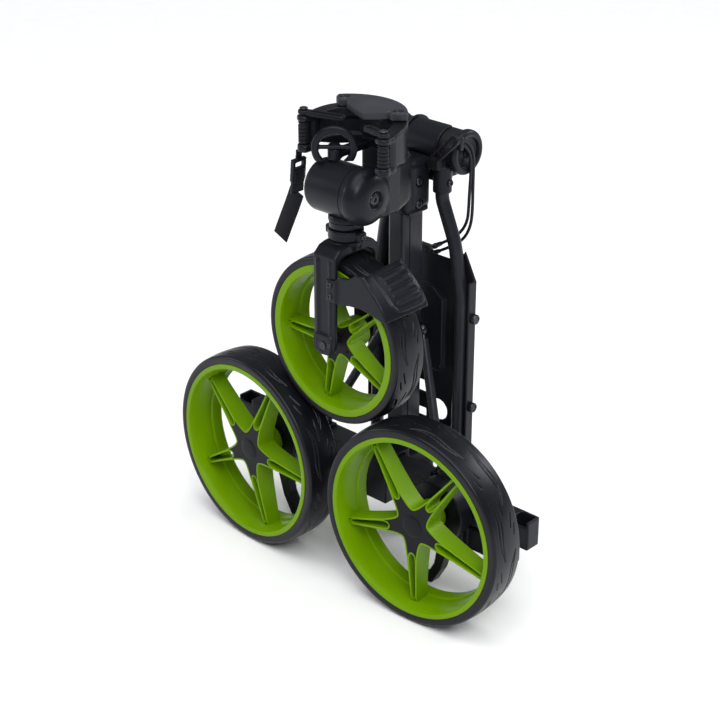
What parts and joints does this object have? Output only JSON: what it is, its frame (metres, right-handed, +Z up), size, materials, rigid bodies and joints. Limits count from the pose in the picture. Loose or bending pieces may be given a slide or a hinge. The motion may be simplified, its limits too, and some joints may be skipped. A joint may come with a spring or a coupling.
{
  "type": "folding push cart",
  "caption": "Compact golf push cart, folded and standing upright on its rear tyres, with folding front arm, swinging wheel arms, tube handle frame and bag cradle.",
  "frame": {"origin": "middle of the footprint on the floor, in the folded pose", "axes": "+Z up, -Y towards the side that the folded wheels face, +X to the cart's right as seen from that side"},
  "size_m": [0.6026, 0.2616, 0.6765],
  "materials": {
    "dark_moulding": "fine-grained moulded",
    "arm_moulding": "fine-grained moulded",
    "frame_tube": "dark powder coat",
    "dark_steel": "black oxide",
    "bright_steel": "satin",
    "green_rim": "satin moulded",
    "tyre_rubber": "satin",
    "soft_rubber": "matte",
    "webbing": "woven"
  },
  "bodies": {
    "frame": {"column": "frame_tube", "hinge_housing": "dark_moulding", "fold_bolt": "dark_steel", "bag_bracket": "dark_moulding", "bracket_cover": "dark_moulding", "bracket_pins": "dark_steel", "latch_guide": "dark_moulding", "frame_screws": "dark_steel", "rear_beam": "frame_tube", "beam_end_caps": "dark_moulding", "base_bracket": "dark_moulding", "prop_foot": "soft_rubber", "strut_tubes": "frame_tube", "strut_ends": "dark_steel", "hinge_pins": "dark_steel", "strap_webbing": "webbing", "strap_buckle": "dark_moulding", "latch_spring": "bright_steel"},
    "front_arm": {"barrel": "dark_moulding", "barrel_cap": "dark_moulding", "neck": "dark_steel"},
    "latch": {"latch_ring": "dark_moulding", "latch_plunger": "bright_steel"},
    "fork": {"fork": "dark_moulding", "fork_clamp": "dark_moulding", "fork_screws": "dark_steel", "front_axle": "bright_steel", "fender": "dark_moulding"},
    "front_wheel": {"front_rim": "green_rim", "front_tyre": "tyre_rubber", "front_hub_cap": "dark_moulding", "front_bearings": "bright_steel"},
    "handle_frame": {"handle_tubes": "frame_tube", "storage_panel": "dark_moulding", "handle_screws": "dark_steel", "handle_yoke": "dark_moulding", "handle_grip": "soft_rubber", "grip_cover": "dark_moulding", "brake_discs": "dark_moulding", "brake_cables": "soft_rubber", "cable_ferrules": "dark_steel", "upper_hook": "soft_rubber"},
    "brake_lever": {"brake_lever": "dark_moulding"},
    "hook_right": {"strap_hook_right": "soft_rubber"},
    "hook_left": {"strap_hook_left": "soft_rubber"},
    "arm_right": {"wheel_arm_right": "arm_moulding", "rear_axle_right": "bright_steel"},
    "arm_left": {"wheel_arm_left": "arm_moulding", "rear_axle_left": "bright_steel"},
    "rear_wheel_right": {"rear_rim_right": "green_rim", "rear_tyre_right": "tyre_rubber", "rear_hub_cap_right": "dark_moulding", "rear_bearings_right": "bright_steel"},
    "rear_wheel_left": {"rear_rim_left": "green_rim", "rear_tyre_left": "tyre_rubber", "rear_hub_cap_left": "dark_moulding", "rear_bearings_left": "bright_steel"}
  },
  "joints": [
    {"name": "front_fold", "type": "hinge", "parent": "frame", "child": "front_arm", "pos_m": [0, -0.07323, 0.57], "axis": [1, 0, 0], "range_deg": [-110, 0]},
    {"name": "latch_pull", "type": "slide", "parent": "frame", "child": "latch", "axis": [0, 0, 1], "range_m": [0, 0.0035], "stiffness_N_per_m": 900, "springref_m": -0.004},
    {"name": "fork_tracking", "type": "hinge", "parent": "front_arm", "child": "fork", "pos_m": [0, -0.07323, 0.512], "axis": [0, 0, 1], "range_deg": [-8, 8]},
    {"name": "front_wheel_spin", "type": "hinge", "parent": "fork", "child": "front_wheel", "pos_m": [0, -0.07323, 0.363], "axis": [0, -1, 0], "continuous": true},
    {"name": "handle_fold", "type": "hinge", "parent": "frame", "child": "handle_frame", "pos_m": [0, 0.07077, 0.088], "axis": [-1, 0, 0], "range_deg": [0, 180]},
    {"name": "brake_pull", "type": "hinge", "parent": "handle_frame", "child": "brake_lever", "pos_m": [0, 0.09477, 0.594], "axis": [-1, 0, 0], "range_deg": [0, 30]},
    {"name": "hook_right_turn", "type": "hinge", "parent": "frame", "child": "hook_right", "pos_m": [0.07, -0.07823, 0.66], "axis": [0, 0, 1], "range_deg": [0, 60]},
    {"name": "hook_left_turn", "type": "hinge", "parent": "frame", "child": "hook_left", "pos_m": [-0.07, -0.07823, 0.66], "axis": [0, 0, 1], "range_deg": [-60, 0]},
    {"name": "arm_right_fold", "type": "hinge", "parent": "frame", "child": "arm_right", "pos_m": [0.24, -0.00323, 0.1], "axis": [0, 0, 1], "range_deg": [0, 90]},
    {"name": "arm_left_fold", "type": "hinge", "parent": "frame", "child": "arm_left", "pos_m": [-0.24, -0.00323, 0.1], "axis": [0, 0, 1], "range_deg": [-90, 0]},
    {"name": "rear_wheel_right_spin", "type": "hinge", "parent": "arm_right", "child": "rear_wheel_right", "pos_m": [0.158, -0.12323, 0.145], "axis": [0.0576, -0.9983, 0], "continuous": true},
    {"name": "rear_wheel_left_spin", "type": "hinge", "parent": "arm_left", "child": "rear_wheel_left", "pos_m": [-0.158, -0.12323, 0.145], "axis": [-0.0576, -0.9983, 0], "continuous": true}
  ],
  "couplings": [
    {"joint": "arm_left_fold", "follows": "arm_right_fold", "ratio": -1}
  ]
}
